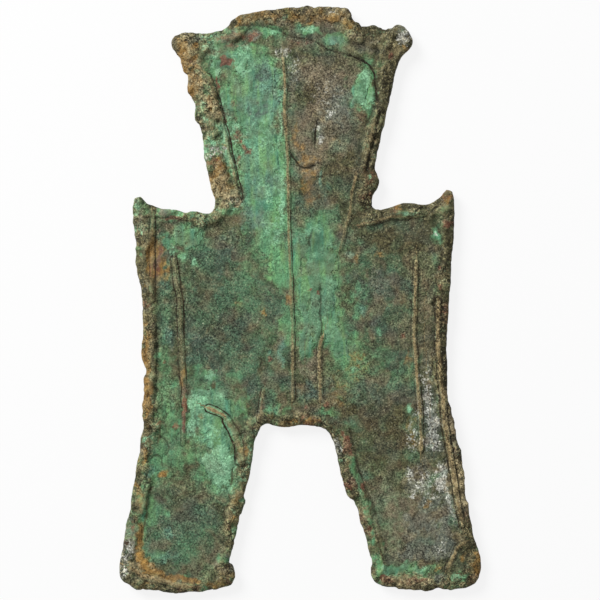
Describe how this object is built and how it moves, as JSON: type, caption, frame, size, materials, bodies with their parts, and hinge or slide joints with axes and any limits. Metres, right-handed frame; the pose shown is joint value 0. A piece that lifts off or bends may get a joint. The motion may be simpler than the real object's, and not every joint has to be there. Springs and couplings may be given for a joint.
{
  "type": "cast bronze spade coin",
  "caption": "Flat cast bronze coin shaped like a spade, with a tapered flat handle, pointed shoulders, an arch between square feet, raised rims and lines, and patches of burial crust",
  "frame": {"origin": "under the middle of the coin's outline, on the plane of the reverse rim that the coin rests on", "axes": "+Y points from the feet to the head, +Z out of the obverse, +X to the right as seen from the obverse"},
  "size_m": [0.0302, 0.049, 0.0013],
  "materials": {
    "patinated_bronze": "olive-brown patina, matte",
    "malachite": "green copper carbonate crust, matte",
    "burial_earth": "hardened ochre earth, rough",
    "lead_carbonate": "grey-white powdery crust, matte"
  },
  "bodies": {
    "root": {"bronze_casting": "patinated_bronze", "malachite_crust_head_left": "malachite", "malachite_crust_head_right": "malachite", "malachite_crust_middle": "malachite", "malachite_crust_shoulder": "malachite", "malachite_crust_left_leg": "malachite", "malachite_crust_right_sole": "malachite", "earth_crust_head": "burial_earth", "earth_crust_left_sole": "burial_earth", "earth_crust_sprue": "burial_earth", "lead_crust_right_leg": "lead_carbonate"}
  },
  "joints": []
}
